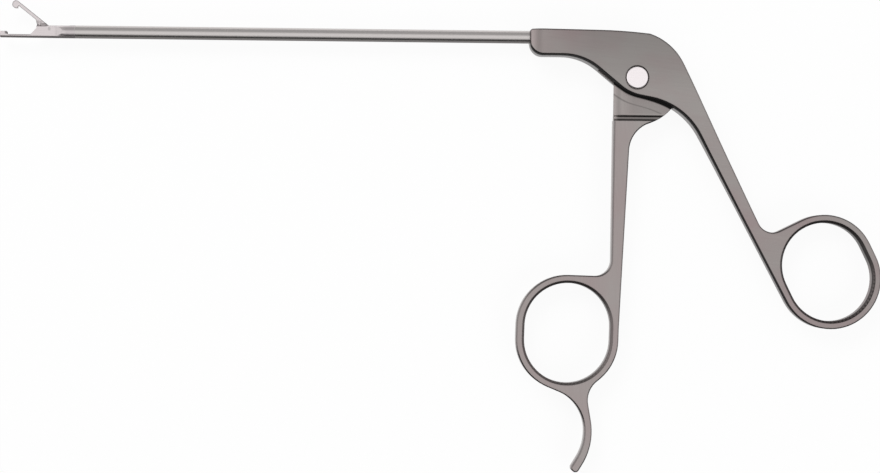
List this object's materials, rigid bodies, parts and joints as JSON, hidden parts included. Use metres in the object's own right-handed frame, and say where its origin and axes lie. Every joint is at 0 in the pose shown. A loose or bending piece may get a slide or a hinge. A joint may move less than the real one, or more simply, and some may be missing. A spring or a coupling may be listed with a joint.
{
  "type": "suture grasper",
  "caption": "Ring-handled surgical grasper with a slim straight shaft and a hinged upper jaw that a rod inside the shaft closes on a fixed lower jaw when the front lever is squeezed.",
  "frame": {"origin": "on the shaft's axis, at the front face of the fixed handle", "axes": "+X from the jaw towards the handles, along the shaft; +Y up in the plane of the instrument, away from the rings; +Z out of the near cheek, through the thickness; middle plane at Z = 0"},
  "size_m": [0.2205, 0.1164, 0.0083],
  "materials": {
    "handle_steel": "satin",
    "lever_steel": "satin",
    "pivot_steel": "polished",
    "screw_steel": "polished",
    "shaft_steel": "polished",
    "housing_steel": "satin",
    "jaw_steel": "satin",
    "jaw_pin_steel": "satin",
    "rod_steel": "polished",
    "spool_steel": "polished",
    "tang_steel": "satin",
    "drive_pin_steel": "satin"
  },
  "bodies": {
    "handle": {"handle_body": "handle_steel", "shaft_tube": "shaft_steel", "jaw_housing": "housing_steel", "pivot_barrel": "pivot_steel", "pivot_screw": "screw_steel", "jaw_pin": "jaw_pin_steel"},
    "lever": {"front_lever": "lever_steel"},
    "rod": {"push_rod": "rod_steel", "rod_tang": "tang_steel", "drive_pin": "drive_pin_steel", "rod_spool": "spool_steel"},
    "jaw": {"upper_jaw": "jaw_steel"}
  },
  "joints": [
    {"name": "lever_squeeze", "type": "hinge", "parent": "handle", "child": "lever", "pos_m": [0.0267, -0.01015, 0], "axis": [0, 0, 1], "range_deg": [0, 6.49]},
    {"name": "rod_slide", "type": "slide", "parent": "handle", "child": "rod", "axis": [-1, 0, 0], "range_m": [0, 0.00115]},
    {"name": "jaw_pivot", "type": "hinge", "parent": "handle", "child": "jaw", "pos_m": [-0.1193, 0.0006, 0], "axis": [0, 0, 1], "range_deg": [0, 38.5]}
  ],
  "couplings": [
    {"joint": "rod_slide", "follows": "lever_squeeze", "m_per_rad": 0.010148},
    {"joint": "jaw_pivot", "follows": "lever_squeeze", "ratio": 5.9298}
  ]
}
